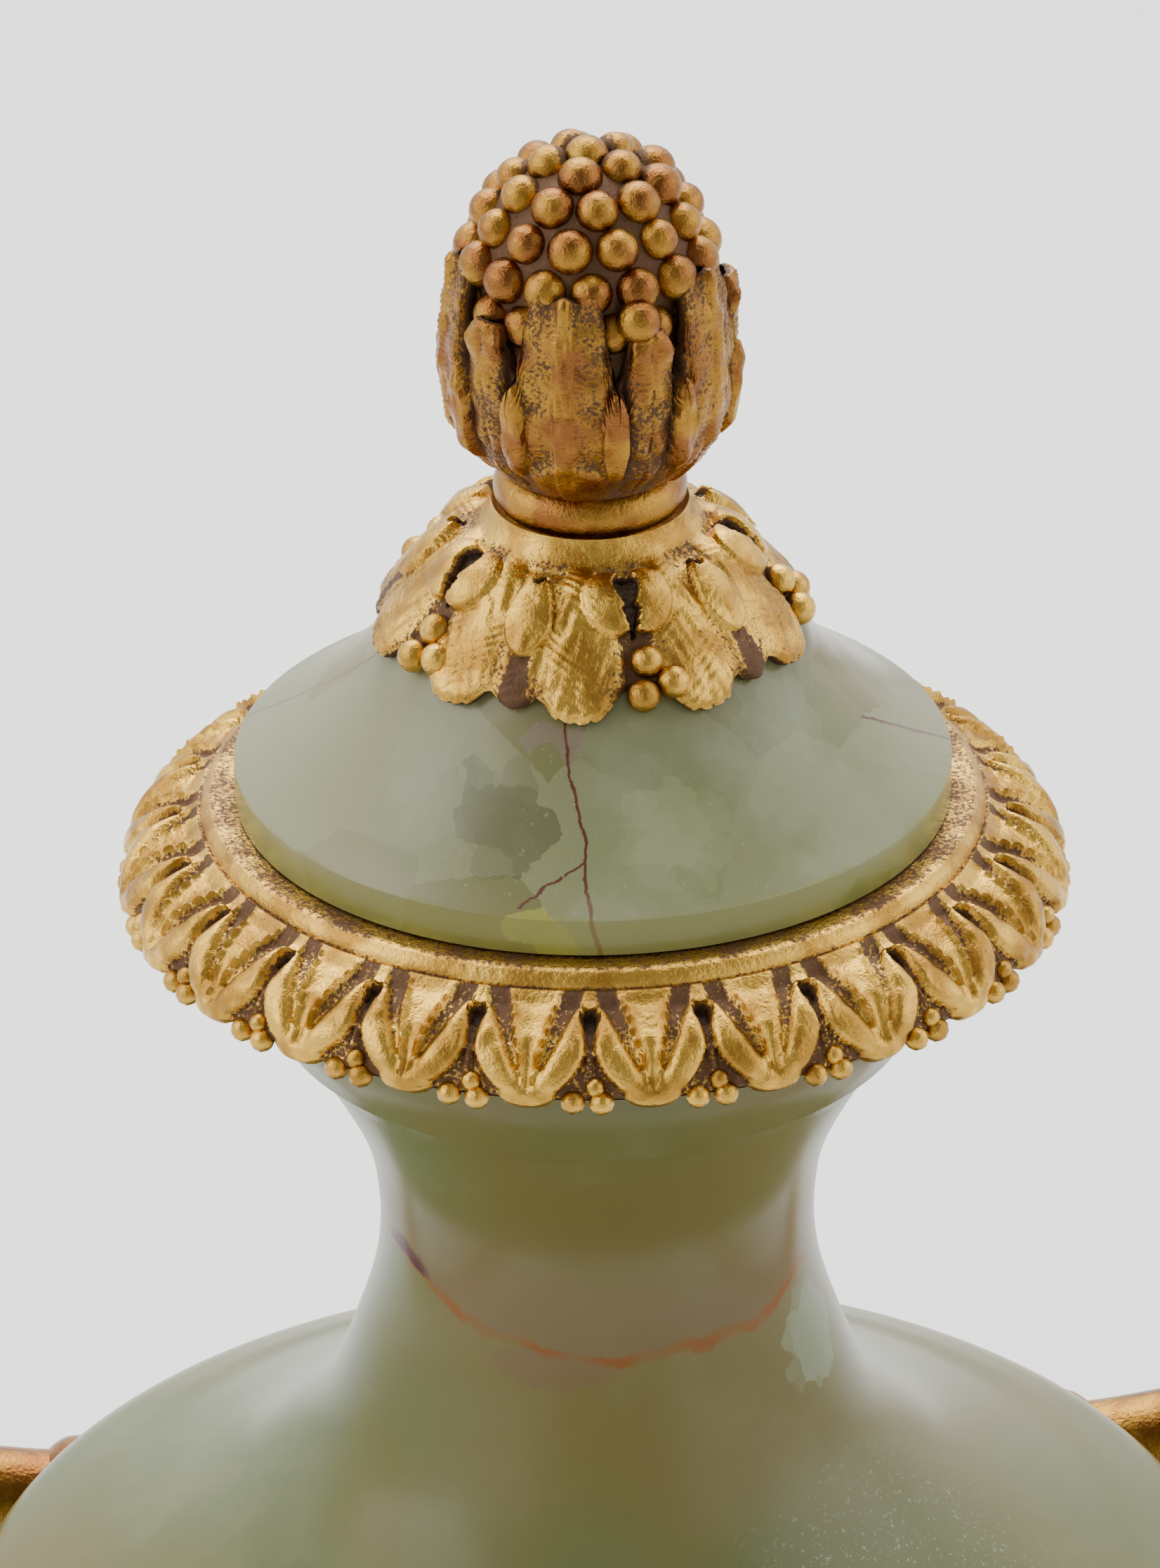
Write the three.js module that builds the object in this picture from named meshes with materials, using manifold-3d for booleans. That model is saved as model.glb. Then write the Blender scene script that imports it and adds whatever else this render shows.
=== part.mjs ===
// A lidded mantel urn of green onyx with gilt bronze mounts, on its own plinth.
// Millimetres, +Z up, origin at the centre of the underside. The handles lie on the X axis.
import * as THREE from "three";
import { mergeVertices } from "three/addons/utils/BufferGeometryUtils.js";
import Module from "manifold-3d";

const wasm = await Module();
wasm.setup();

// Driving dimensions
const RIM_HEIGHT = 345; // the plane of the mouth, above the shelf
const GAP = 0.3; // air between neighbouring pieces
const LEAF_GAP = 0.6; // air under leaves that follow the turned stone
const STONE_SIDES = 32; // facets round a turned piece of stone
const SMALL_SIDES = 24; // facets round a small turned ring
const BELLY_RADIUS = 84.8; // widest part of the body
const BELLY_DROP = 129; // from the rim down to the widest part
const BELLY_DEPTH = 107; // from the widest part down to the pole of the lower curve
const BELLY_POWER = 1.15; // above 1 the lower curve is leaner than an ellipse
const WALL = 9.5; // onyx wall of the belly
const MOUTH_RADIUS = 36; // inside the lip
const LIP_TOP = -2.2; // the lip's top under the mouth mount, from the rim
const LID_RADIUS = 45.1;
const LID_WALL_TOP = 7.8; // crisp upper edge of the lid's wall, above the rim
const RIM_LEAVES = 24; // eye-and-leaf repeats round the mouth
const RIM_TURN = THREE.MathUtils.degToRad(-94.8); // where one of their eyes stands
const COLLAR_LEAVES = 5; // leaf repeats over the lid
const COLLAR_TURN = THREE.MathUtils.degToRad(-80);
const BUD_LEAVES = 5; // tall leaves round the finial's bud, with a short one between each two
const BUD_TURN = THREE.MathUtils.degToRad(-104.5);
const BERRY_RADIUS = 2.8;
const HANDLE_SPREAD = 54; // each handle's two arms stand this far to either side of the X axis
const HANDLE_REACH = 116.5; // the middle of the loop, from the urn's axis
const HANDLE_BAR = 6.3; // radius of the loop's bar
const HANDLE_BOSS = 8; // radius of the bar's swollen root
const HANDLE_MIDDLE = -109; // the loop's middle, from the rim
const ROOT = [67, -130.5]; // the swollen root's centre, out along X and down from the rim
const CUP_LEAVES = 8; // leaves under the body
const PLINTH_HALF = 54;
const PLINTH_TOP = 37;
const BASE_HALF = 61;
const BASE_HEIGHT = 9;

// The stone's dark olive green and the gilding, in the part's own plain colours
const onyx = () => new THREE.MeshStandardMaterial({ color: 0x8a8f68, roughness: 0.18, metalness: 0 });
const gilt = () => new THREE.MeshStandardMaterial({ color: 0xb98a3c, roughness: 0.35, metalness: 1 });

const urn = new THREE.Group();

function add(name, geometry, material) {
  const mesh = new THREE.Mesh(geometry, material);
  mesh.name = name;
  urn.add(mesh);
}

// Heights given from the rim, turned into heights from the shelf
const fromRim = (rows) => rows.map(([radius, height]) => [radius, RIM_HEIGHT + height]);

// A smooth run through a few [radius, height] points
function through(points, steps) {
  const curve = new THREE.SplineCurve(points.map(([radius, height]) => new THREE.Vector2(radius, height)));
  return curve.getPoints(steps).map((point) => [point.x, point.y]);
}

// A piece turned about Z from rows of [radius, height], listed anticlockwise round its section.
// carve(angle, radius, height, row) gives how far a point moves out and up.
function turned(rows, sides, carve = () => [0, 0]) {
  const section = rows.map(([radius, height]) => new THREE.Vector2(radius, height));
  const geometry = new THREE.LatheGeometry(section, sides);
  geometry.rotateX(Math.PI / 2);
  const position = geometry.attributes.position;
  for (let i = 0; i < position.count; i += 1) {
    const row = i % rows.length;
    const [radius, height] = rows[row];
    const angle = Math.atan2(position.getY(i), position.getX(i));
    const [out, up] = radius > 0 ? carve(angle, radius, height, row) : [0, 0];
    position.setXYZ(
      i,
      (radius + out) * Math.cos(angle),
      (radius + out) * Math.sin(angle),
      height + up,
    );
  }
  return geometry;
}

// A closed mesh as a solid for cutting and joining, and back
function solid(geometry) {
  const bare = geometry.index ? geometry.toNonIndexed() : geometry.clone();
  bare.deleteAttribute("normal");
  bare.deleteAttribute("uv");
  const merged = mergeVertices(bare, 1e-3);
  return new wasm.Manifold(
    new wasm.Mesh({
      numProp: 3,
      vertProperties: merged.attributes.position.array,
      triVerts: new Uint32Array(merged.index.array),
    }),
  );
}

function fromSolid(made) {
  const mesh = made.getMesh();
  const geometry = new THREE.BufferGeometry();
  geometry.setAttribute("position", new THREE.BufferAttribute(mesh.vertProperties, 3));
  geometry.setIndex(new THREE.BufferAttribute(mesh.triVerts, 1));
  return geometry;
}

// Where an angle stands in its repeat: 0 in the middle of the motif, 1 halfway to the next one
function inRepeat(angle, repeats) {
  const place = (angle * repeats) / (2 * Math.PI);
  return 2 * Math.abs(place - Math.round(place));
}

// ---- The body: lip, neck, trumpet shoulder and lower curve, all one turned piece of onyx

// A point on the lower curve, from the widest part (0) to the pole (a quarter turn), moved out by a skin
function lowerCurve(turn, skin) {
  const radius = BELLY_RADIUS * Math.cos(turn) ** BELLY_POWER;
  const height = -BELLY_DROP - BELLY_DEPTH * Math.sin(turn);
  return [radius + skin * Math.cos(turn), height - skin * Math.sin(turn)];
}

const BODY_FOOT_TURN = THREE.MathUtils.degToRad(78); // the lower curve ends here, on the stem

function lowerRun(skin, from, to, steps) {
  const rows = [];
  for (let i = 0; i <= steps; i += 1) rows.push(lowerCurve(from + ((to - from) * i) / steps, skin));
  return rows;
}

const NECK_AND_SHOULDER = [
  [BELLY_RADIUS, -BELLY_DROP],
  [84.2, -122.5],
  [81, -116.6],
  [73, -112.3],
  [64.7, -108.8],
  [52.2, -101.8],
  [43.9, -95.2],
  [36, -86],
  [31, -74],
  [28.3, -64],
  [28, -54],
  [30.2, -44],
  [37.4, -30.2],
];
const LIP = [
  [40.8, -27.5],
  [44, -20],
  [44.5, LIP_TOP - GAP],
];
const INSIDE = [
  [MOUTH_RADIUS, LIP_TOP - GAP],
  [34, -16],
  [21, -45],
  [20.5, -64],
  [27, -85],
  [50, -109],
];

function bodyOutside(skin) {
  const upper = through(NECK_AND_SHOULDER, 13).map(([radius, height]) => [radius + skin, height]);
  return [...lowerRun(skin, BODY_FOOT_TURN, 0, 6), ...upper.slice(1), ...LIP];
}

const bodyRows = fromRim([
  [0, lowerCurve(BODY_FOOT_TURN, 0)[1]],
  ...bodyOutside(0),
  ...INSIDE,
  ...lowerRun(-WALL, 0, BODY_FOOT_TURN, 4),
  [0, lowerCurve(BODY_FOOT_TURN, -WALL)[1]],
]);
add("urn_body", turned(bodyRows, STONE_SIDES), onyx());

// ---- The mouth mount: a flat ledge for the lid, a quarter round and a border of hanging leaves

const LEDGE = 2.8; // the ledge's height above the plane of the mouth
const RIM_BORE = MOUTH_RADIUS + 0.5;
const RIM_ROWS = [
  [RIM_BORE, LIP_TOP],
  [46, LIP_TOP],
  [55.8, -9.6],
  [58.8, -11],
  [60.2, -8.6],
  [58.8, -4.6],
  [55.2, -1],
  [49.9, 0.8],
  [48.1, LEDGE],
  [RIM_BORE, LEDGE],
];
const RIM_EDGE_ROWS = [2, 3]; // hang lower at each leaf tip
const RIM_RELIEF_ROWS = [4, 5, 6]; // cut back at each eye and each dart
const RIM_DEPTH = 1.8;
const RIM_SINK = 0.4; // how far a cut also drops, as a share of its depth
const RIM_HANG = 1.3;

function rimCarve(angle, radius, height, row) {
  const place = inRepeat(angle, RIM_LEAVES);
  if (RIM_EDGE_ROWS.includes(row)) return [0, -RIM_HANG * place ** 2];
  if (!RIM_RELIEF_ROWS.includes(row)) return [0, 0];
  const cut = RIM_DEPTH * (1 - Math.sin(Math.PI * place));
  return [-cut, -RIM_SINK * cut];
}

// The section closes on itself, so its first row is repeated at its end
const rimSection = fromRim([...RIM_ROWS, RIM_ROWS[0]]);
const rim = turned(rimSection, RIM_LEAVES * 4, rimCarve);
rim.rotateZ(RIM_TURN);
add("rim_mount", rim, gilt());

// ---- The lid: a spigot that drops into the mouth, a low wall with a crisp edge, a hollow-sided cone

const LID_TOP = 38.1;
const LID_CONE = [
  [LID_RADIUS, LID_WALL_TOP],
  [37.8, 12.8],
  [31.1, 18.8],
  [26.2, 25.7],
  [20.8, 31.6],
  [11.8, LID_TOP],
];
const SPIGOT_RADIUS = MOUTH_RADIUS - 0.5;
const SPIGOT_FOOT = -1.6;
const lidRows = fromRim([
  [0, SPIGOT_FOOT],
  [SPIGOT_RADIUS, SPIGOT_FOOT],
  [SPIGOT_RADIUS, LEDGE + GAP],
  [LID_RADIUS, LEDGE + GAP],
  ...through(LID_CONE, 6),
  [0, LID_TOP],
]);
add("lid", turned(lidRows, STONE_SIDES), onyx());

// ---- The leaf collar on the lid: a turned neck over a skirt of leaves

const COLLAR_TOP = 41.8;
const COLLAR_ROWS = [
  [0, LID_TOP + LEAF_GAP],
  [12.4, LID_TOP + LEAF_GAP],
  [21.3, 32.6],
  [26.3, 26.6],
  [28, 26],
  [27, 29.3],
  [23.2, 34.4],
  [18.4, 38.5],
  [14.2, 40.4],
  [12.3, 43.5],
  [11, COLLAR_TOP],
  [0, COLLAR_TOP],
];
const COLLAR_EDGE_ROWS = [3, 4];
const COLLAR_RELIEF_ROWS = [5, 6, 7];
const COLLAR_FOLDS = 2.5; // folds from the middle of a leaf to the middle of the next gap
const COLLAR_SWELL = 0.4; // how far a lobe stands out, and up
const COLLAR_DEPTH = 1.5; // how far a fold cuts in
const COLLAR_PARTING = 1.8; // how far the edge rises between two lobes

// Each repeat has a rounded leaf in its middle and pointed lobes to the next one
function collarCarve(angle, radius, height, row) {
  const place = inRepeat(angle, COLLAR_LEAVES);
  const fold = 1 - Math.abs(Math.cos(COLLAR_FOLDS * Math.PI * place));
  if (COLLAR_EDGE_ROWS.includes(row)) return [COLLAR_SWELL - fold, COLLAR_PARTING * fold];
  const sink = COLLAR_DEPTH * fold;
  if (COLLAR_RELIEF_ROWS.includes(row)) return [COLLAR_SWELL - sink, COLLAR_SWELL - sink / 2];
  return [0, 0];
}
const collar = turned(fromRim(COLLAR_ROWS), COLLAR_LEAVES * 10, collarCarve);
collar.rotateZ(COLLAR_TURN);
add("lid_leaf_collar", collar, gilt());

// ---- The finial: a turned ring, and a bud of berries in a cup of leaves

const RING_RADIUS = 8.9; // the turned ring's centre line
const RING_BAR = 3.2;
const RING_CENTRE = COLLAR_TOP + 0.4 + RING_BAR;
const BUD_CORE_RADIUS = 14.6;
const BUD_CORE_HALF = 16;
const BUD_CORE_CENTRE = 74.4;
const BERRY_RISE = BERRY_RADIUS * 0.8; // how far a berry stands out of the core
const BERRY_ROWS = 5;
const BERRY_STEP = THREE.MathUtils.degToRad(19.5); // from row to row, seen from the core's centre
const TALL_TIP = 78;
const SHORT_TIP = 73;
const LEAF_BETWEEN = 70.5; // how low the leaves part
const TIP_CURL = 1.2; // how far a short leaf's tip curls out
const LEAF_RIB = 0.9; // how far a leaf's middle stands out past its sides
const LEAF_EDGE = 1.6; // how far a leaf's tip stands off the berries
const LEAF_SIDE = [
  [11, 48.3],
  [13.4, 50.2],
  [16.5, 54.2],
  [18, 59],
  [18.3, 65.3],
  [17.9, 70.5],
  [17.2, 75.6],
];

// How far the nearest berry lifts the core's skin, at an angle round the bud and a turn down from its pole
function berryLift(angle, polar) {
  let lift = 0;
  for (let row = 0; row <= BERRY_ROWS; row += 1) {
    const rowTurn = row * BERRY_STEP;
    const ring = BUD_CORE_RADIUS * Math.sin(rowTurn);
    const count = Math.max(1, Math.round((2 * Math.PI * ring) / (2 * BERRY_RADIUS)));
    const share = (2 * Math.PI) / count;
    const start = row % 2 ? 0 : share / 2;
    const around = (angle - start) / share;
    const aside = row ? (around - Math.round(around)) * share * ring : BUD_CORE_RADIUS * Math.sin(polar);
    const along = row ? (polar - rowTurn) * BUD_CORE_HALF : 0;
    const reach = 1 - (aside * aside + along * along) / (BERRY_RADIUS * BERRY_RADIUS);
    if (reach > 0) lift = Math.max(lift, BERRY_RISE * Math.sqrt(reach));
  }
  return lift;
}

const berryTurns = [];
for (let i = 0; i < 10; i += 1) berryTurns.push(THREE.MathUtils.degToRad(80 - 7.6 * i));
const corePoint = (polar, lift) => [
  (BUD_CORE_RADIUS + lift) * Math.sin(polar),
  BUD_CORE_CENTRE + (BUD_CORE_HALF + lift) * Math.cos(polar),
];
const finialRing = [-60, -20, 20, 60].map((degrees) => {
  const turn = THREE.MathUtils.degToRad(degrees);
  return [RING_RADIUS + RING_BAR * Math.cos(turn), RING_CENTRE + RING_BAR * Math.sin(turn)];
});
const finialRows = [
  [0, RING_CENTRE - RING_BAR],
  [RING_RADIUS, RING_CENTRE - RING_BAR],
  ...finialRing,
  ...LEAF_SIDE,
  ...berryTurns.map((polar) => corePoint(polar, 0)),
  [0, BUD_CORE_CENTRE + BUD_CORE_HALF + BERRY_RISE],
];
const FIRST_LEAF_ROW = 2 + finialRing.length;
const FIRST_BERRY_ROW = FIRST_LEAF_ROW + LEAF_SIDE.length;

function finialCarve(angle, radius, height, row) {
  if (row < FIRST_LEAF_ROW) return [0, 0];
  if (row >= FIRST_BERRY_ROW) {
    const polar = berryTurns[row - FIRST_BERRY_ROW];
    const [out, up] = corePoint(polar, berryLift(angle, polar));
    return [out - radius, RIM_HEIGHT + up - height];
  }
  const place = inRepeat(angle, BUD_LEAVES);
  const tall = 1 - THREE.MathUtils.smoothstep(place, 0.25, 0.6);
  const short = THREE.MathUtils.smoothstep(place, 0.6, 0.85);
  const tip = LEAF_BETWEEN + (TALL_TIP - LEAF_BETWEEN) * tall + (SHORT_TIP - LEAF_BETWEEN) * short;
  const past = THREE.MathUtils.smoothstep(height, RIM_HEIGHT + tip - 3, RIM_HEIGHT + tip);
  const curl = short * TIP_CURL * THREE.MathUtils.smoothstep(height, RIM_HEIGHT + 60, RIM_HEIGHT + 70);
  const rib = LEAF_RIB * Math.max(tall, short);
  return [rib - LEAF_RIB + curl * (1 - past) - LEAF_EDGE * past, 0];
}
const finial = turned(fromRim(finialRows), BUD_LEAVES * 8, finialCarve);
finial.rotateZ(BUD_TURN);
add("finial", finial, gilt());

// ---- The handles: a loop of plain bar on either side, its two arms rooted on the belly

const ARM = [
  [58, HANDLE_SPREAD, -131],
  [72, HANDLE_SPREAD, -130.4],
  [88, 51.5, -126.5],
  [103, 42, -119.5],
  [113, 24, -112],
];

function loopPath(side) {
  const near = ARM.map(([x, y, height]) => new THREE.Vector3(side * x, -y, RIM_HEIGHT + height));
  const far = ARM.map(([x, y, height]) => new THREE.Vector3(side * x, y, RIM_HEIGHT + height)).reverse();
  const middle = new THREE.Vector3(side * HANDLE_REACH, 0, RIM_HEIGHT + HANDLE_MIDDLE);
  return new THREE.CatmullRomCurve3([...near, middle, ...far]);
}

// The body's own shape with the gap added, to cut the roots to its curve
const clearanceRows = fromRim([
  [0, lowerCurve(BODY_FOOT_TURN, GAP)[1]],
  ...bodyOutside(GAP + 0.1),
  [0, LIP_TOP - GAP],
]);
const clearance = solid(turned(clearanceRows, STONE_SIDES));

function handle(side) {
  const section = new THREE.Shape().absarc(0, 0, HANDLE_BAR, 0, 2 * Math.PI);
  const bar = new THREE.ExtrudeGeometry(section, {
    steps: 20,
    curveSegments: 4,
    bevelEnabled: false,
    extrudePath: loopPath(side),
  });
  let made = solid(bar);
  for (const away of [-1, 1]) {
    const boss = new THREE.SphereGeometry(HANDLE_BOSS, 8, 6);
    boss.scale(0.75, 1, 1);
    boss.translate(side * ROOT[0], away * HANDLE_SPREAD, RIM_HEIGHT + ROOT[1]);
    made = made.add(solid(boss));
  }
  return fromSolid(made.subtract(clearance));
}
add("handle_right", handle(1), gilt());
add("handle_left", handle(-1), gilt());

// ---- Under the body: a leaf cup, a knop, a trumpet foot and a ring

const CUP_TOP_TURN = THREE.MathUtils.degToRad(48);
const CUP_PARTING = THREE.MathUtils.degToRad(12); // how far the leaves part between their tips
const CUP_SKIN = 2.8;
const CUP_RIB = 0.9; // how far a leaf's middle stands out past its sides
const CUP_BOTTOM = 100;
const CUP_STEPS = 4;

const cupRows = [
  [0, CUP_BOTTOM],
  [15, CUP_BOTTOM],
  ...fromRim(lowerRun(CUP_SKIN, BODY_FOOT_TURN - 0.05, CUP_TOP_TURN, CUP_STEPS)),
  ...fromRim(lowerRun(LEAF_GAP, CUP_TOP_TURN, BODY_FOOT_TURN, CUP_STEPS)),
  [0, RIM_HEIGHT + lowerCurve(BODY_FOOT_TURN, LEAF_GAP)[1]],
];
const CUP_TIP_ROW = 2 + CUP_STEPS; // the tips' outer edge, and their inner edge on the next row

function cupCarve(angle, radius, height, row) {
  const fold = 1 - Math.cos((Math.PI / 2) * inRepeat(angle, CUP_LEAVES));
  if (row === CUP_TIP_ROW || row === CUP_TIP_ROW + 1) {
    const skin = row === CUP_TIP_ROW ? CUP_SKIN : LEAF_GAP;
    const [out, up] = lowerCurve(CUP_TOP_TURN + CUP_PARTING * fold, skin);
    return [out - radius, RIM_HEIGHT + up - height];
  }
  if (row > 2 && row < CUP_TIP_ROW) return [-CUP_RIB * fold, CUP_RIB * fold];
  return [0, 0];
}
add("leaf_cup", turned(cupRows, CUP_LEAVES * 4, cupCarve), gilt());

const knopRows = [
  [0, 86],
  [14, 86],
  [18.5, 88.4],
  [20.5, 92.9],
  [18.5, 97.3],
  [14, 99.7],
  [0, 99.7],
];
add("stem_knop", turned(knopRows, SMALL_SIDES), gilt());

const FOOT_SIDE = [
  [41.5, 50],
  [37, 54.5],
  [27, 59.5],
  [19.5, 67],
  [15.5, 77],
  [14.5, 85.7],
];
const footRows = [[0, 46], [41, 46], ...through(FOOT_SIDE, 6), [0, 85.7]];
add("foot", turned(footRows, STONE_SIDES), onyx());

const footRingRows = [
  [0, PLINTH_TOP + GAP],
  [46.5, PLINTH_TOP + GAP],
  [48, 39.8],
  [46.5, 42.6],
  [43, 43.6],
  [42.6, 45.7],
  [0, 45.7],
];
add("foot_ring", turned(footRingRows, STONE_SIDES), gilt());

// ---- The plinth: a square block of onyx on a gilt moulding. Half widths stand in for radii.

function square(rows) {
  const corners = rows.map(([half, height]) => [half * Math.SQRT2, height]);
  const geometry = turned(corners, 4);
  geometry.rotateZ(Math.PI / 4);
  return geometry;
}
const plinthRows = [
  [0, BASE_HEIGHT + GAP],
  [PLINTH_HALF, BASE_HEIGHT + GAP],
  [PLINTH_HALF, PLINTH_TOP - 1],
  [PLINTH_HALF - 1, PLINTH_TOP],
  [0, PLINTH_TOP],
];
add("plinth", square(plinthRows), onyx());

const baseRows = [
  [0, 0],
  [BASE_HALF, 0],
  [BASE_HALF, 3.6],
  [BASE_HALF - 2.2, 5.6],
  [BASE_HALF - 4.6, 7],
  [BASE_HALF - 5.2, BASE_HEIGHT],
  [0, BASE_HEIGHT],
];
add("plinth_base", square(baseRows), gilt());

export default urn;
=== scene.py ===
"""The looks of a lidded mantel urn: turned green onyx with fire-gilt bronze mounts."""

from functools import partial
from math import cos, hypot, pi, radians, sin

import bmesh
import bpy
import numpy as np
from mathutils import Matrix, Vector


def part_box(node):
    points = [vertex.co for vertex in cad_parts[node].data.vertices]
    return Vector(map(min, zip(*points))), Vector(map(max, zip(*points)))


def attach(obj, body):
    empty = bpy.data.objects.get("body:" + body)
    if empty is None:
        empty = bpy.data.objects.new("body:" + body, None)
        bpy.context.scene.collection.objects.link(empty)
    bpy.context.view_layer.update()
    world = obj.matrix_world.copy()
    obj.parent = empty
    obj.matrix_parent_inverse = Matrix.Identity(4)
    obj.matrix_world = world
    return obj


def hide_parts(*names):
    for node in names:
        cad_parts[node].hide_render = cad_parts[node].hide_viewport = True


bl_info = {
    "name": "Mantel urn",
    "version": (1, 0, 0),
    "blender": (4, 5, 0),
    "location": "View3D > Sidebar > Urn",
    "description": "Builds the stone, the gilt mounts and the studio of a mantel urn",
    "category": "Add Mesh",
}

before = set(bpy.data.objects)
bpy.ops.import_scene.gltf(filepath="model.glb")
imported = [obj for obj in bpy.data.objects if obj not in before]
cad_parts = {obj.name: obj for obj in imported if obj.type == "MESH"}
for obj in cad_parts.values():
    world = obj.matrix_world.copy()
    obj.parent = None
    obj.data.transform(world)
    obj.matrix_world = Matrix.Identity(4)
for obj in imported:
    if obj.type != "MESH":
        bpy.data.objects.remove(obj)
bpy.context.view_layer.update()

MM = 0.001


def box_mm(node):
    """The lowest and highest corner of a solid, in millimetres."""
    low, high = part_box(node)
    return low / MM, high / MM


# Heights that the solids fix. The profiles below are given from the plane of the mouth.
LEDGE_RISE = 2.8  # the lid's ledge stands this far above the plane of the mouth
RIM = box_mm("rim_mount")[1].z - LEDGE_RISE
CUP_FOOT = box_mm("leaf_cup")[0].z
KNOP_FOOT = box_mm("stem_knop")[0].z
FOOT_FOOT, FOOT_TOP = (corner.z for corner in box_mm("foot"))
FOOT_RING_FOOT = box_mm("foot_ring")[0].z
PLINTH_LOW, PLINTH_HIGH = box_mm("plinth")
BASE_LOW, BASE_HIGH = box_mm("plinth_base")


def linear(hex_colour):
    """A linear red, green and blue from an sRGB hex value."""
    shares = [int(hex_colour[i : i + 2], 16) / 255 for i in (1, 3, 5)]
    return [s / 12.92 if s <= 0.04045 else ((s + 0.055) / 1.055) ** 2.4 for s in shares]


# ---- Sizes and colours that a user would change


def length_property(name, description, millimetres):
    return bpy.props.FloatProperty(
        name=name, description=description, default=millimetres * MM, unit="LENGTH", subtype="DISTANCE"
    )


def count_property(name, description, count):
    return bpy.props.IntProperty(name=name, description=description, default=count, min=3)


def colour_property(name, description, hex_colour):
    return bpy.props.FloatVectorProperty(
        name=name, description=description, default=linear(hex_colour), size=3, subtype="COLOR", min=0, max=1
    )


class UrnSizes(bpy.types.PropertyGroup):
    """Sizes of the carving."""

    bud_berry: length_property("Bud berry", "Radius of a berry on the finial", 2.8)
    collar_berry: length_property("Collar berry", "Radius of a berry on the lid's collar", 2.1)
    rim_berry: length_property("Rim berry", "Radius of a berry on the mouth mount", 1.6)
    rim_leaves: count_property("Rim leaves", "Eye-and-leaf repeats round the mouth", 24)
    collar_leaves: count_property("Collar leaves", "Leaf repeats over the lid", 5)
    bud_leaves: count_property("Bud leaves", "Tall leaves round the finial's bud", 5)
    cup_leaves: count_property("Cup leaves", "Leaves of the cup under the body", 8)


class UrnColours(bpy.types.PropertyGroup):
    """Colours of the stone, the gilding, what has settled on them, and the painted shade in the mounts' hollows.
    """

    stone: colour_property("Onyx", "The stone's olive ground", "#696136")
    stone_green: colour_property("Green onyx", "Cooler green in the stone", "#5B633A")
    stone_pale: colour_property("Pale onyx", "Milky clouds in the stone", "#80825F")
    stone_vein: colour_property("Vein", "Iron-brown veins and cracks in the stone", "#7A4A18")
    stone_rose: colour_property("Rose onyx", "Rosy brown over a vein", "#6B563C")
    gold: colour_property("Gilding", "Fire gilding where it is rubbed bright", "#DDAF4C")
    gold_deep: colour_property("Deep gilding", "Gilding where it is thin", "#AD8034")
    copper: colour_property("Copper", "The coppery gilding of the finial", "#8C5A2E")
    patina: colour_property("Patina", "Brown bronze where the gilding is worn", "#5E422B")
    # shade: near-black painted shade in the mounts' holes, undersides and gaps, over dark patina
    shade: colour_property("Hollow", "Near-black patina in the deepest hollows", "#38281C")
    dust: colour_property("Dust", "Grey dust in the hollows", "#75664A")


# ---- Making a mesh


def smooth_run(points, steps):
    """A smooth run of steps points through a few [radius, height] points."""
    knots = np.array(points, float)
    ends = np.vstack([2 * knots[0] - knots[1], knots, 2 * knots[-1] - knots[-2]])
    at = np.linspace(0, len(points) - 1, steps)
    cell = np.minimum(at.astype(int), len(points) - 2)
    t = (at - cell)[:, None]
    a, b, c, d = (ends[cell + i] for i in range(4))
    return 0.5 * (2 * b + (c - a) * t + (2 * a - 5 * b + 4 * c - d) * t**2 + (3 * b - a - 3 * c + d) * t**3)


class Skin:
    """A smooth outline that carving is measured on: a run along it, and a rise square to it."""

    def __init__(self, points, upward=False):
        self.points = smooth_run(points, 240)
        steps = np.hypot(*np.diff(self.points, axis=0).T)
        self.run = np.concatenate([[0], np.cumsum(steps)])
        self.along = np.gradient(self.points, self.run, axis=0)
        self.along /= np.hypot(*self.along.T)[:, None]
        side = 1 if upward else -1
        self.out = side * np.column_stack([self.along[:, 1], -self.along[:, 0]])
        self.length = self.run[-1]

    def at(self, run, rise=0.0):
        """The radius and height of a point, which may lie a little past either end."""
        over = run - np.clip(run, 0, self.length)
        place = []
        for i in range(2):
            parts = (self.along, self.out, self.points)
            along, out, on = (np.interp(run, self.run, part[:, i]) for part in parts)
            place.append(on + rise * out + over * along)
        return place


def smoothstep(low, high, value):
    t = np.clip((value - low) / (high - low), 0, 1)
    return t * t * (3 - 2 * t)


def hump(value, width):
    return np.exp(-((value / width) ** 2))


def between(value, *pairs):
    """A number read off between stations, which are pairs of a place and its number."""
    stations, values = zip(*pairs)
    return np.interp(value, stations, values)


def chased(across, along, size=4.0):
    """The unevenness that the chaser's tools leave, from -1 to 1, with waves about this many mm long."""
    a, b = 2 * pi * across / size, 2 * pi * along / size
    steep = np.sin(a + 0.6 * b + 1.3 * np.sin(0.7 * b))
    slanted = np.sin(0.8 * b - 0.7 * a + np.sin(1.1 * a + 2))
    return 0.5 * steep + 0.5 * slanted


def repeat_place(angle, repeats, turn):
    """Where an angle stands in its repeat, from -0.5 to 0.5, with 0 in the middle of the motif."""
    place = (angle - turn) * repeats / (2 * pi)
    return place - np.round(place)


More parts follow.
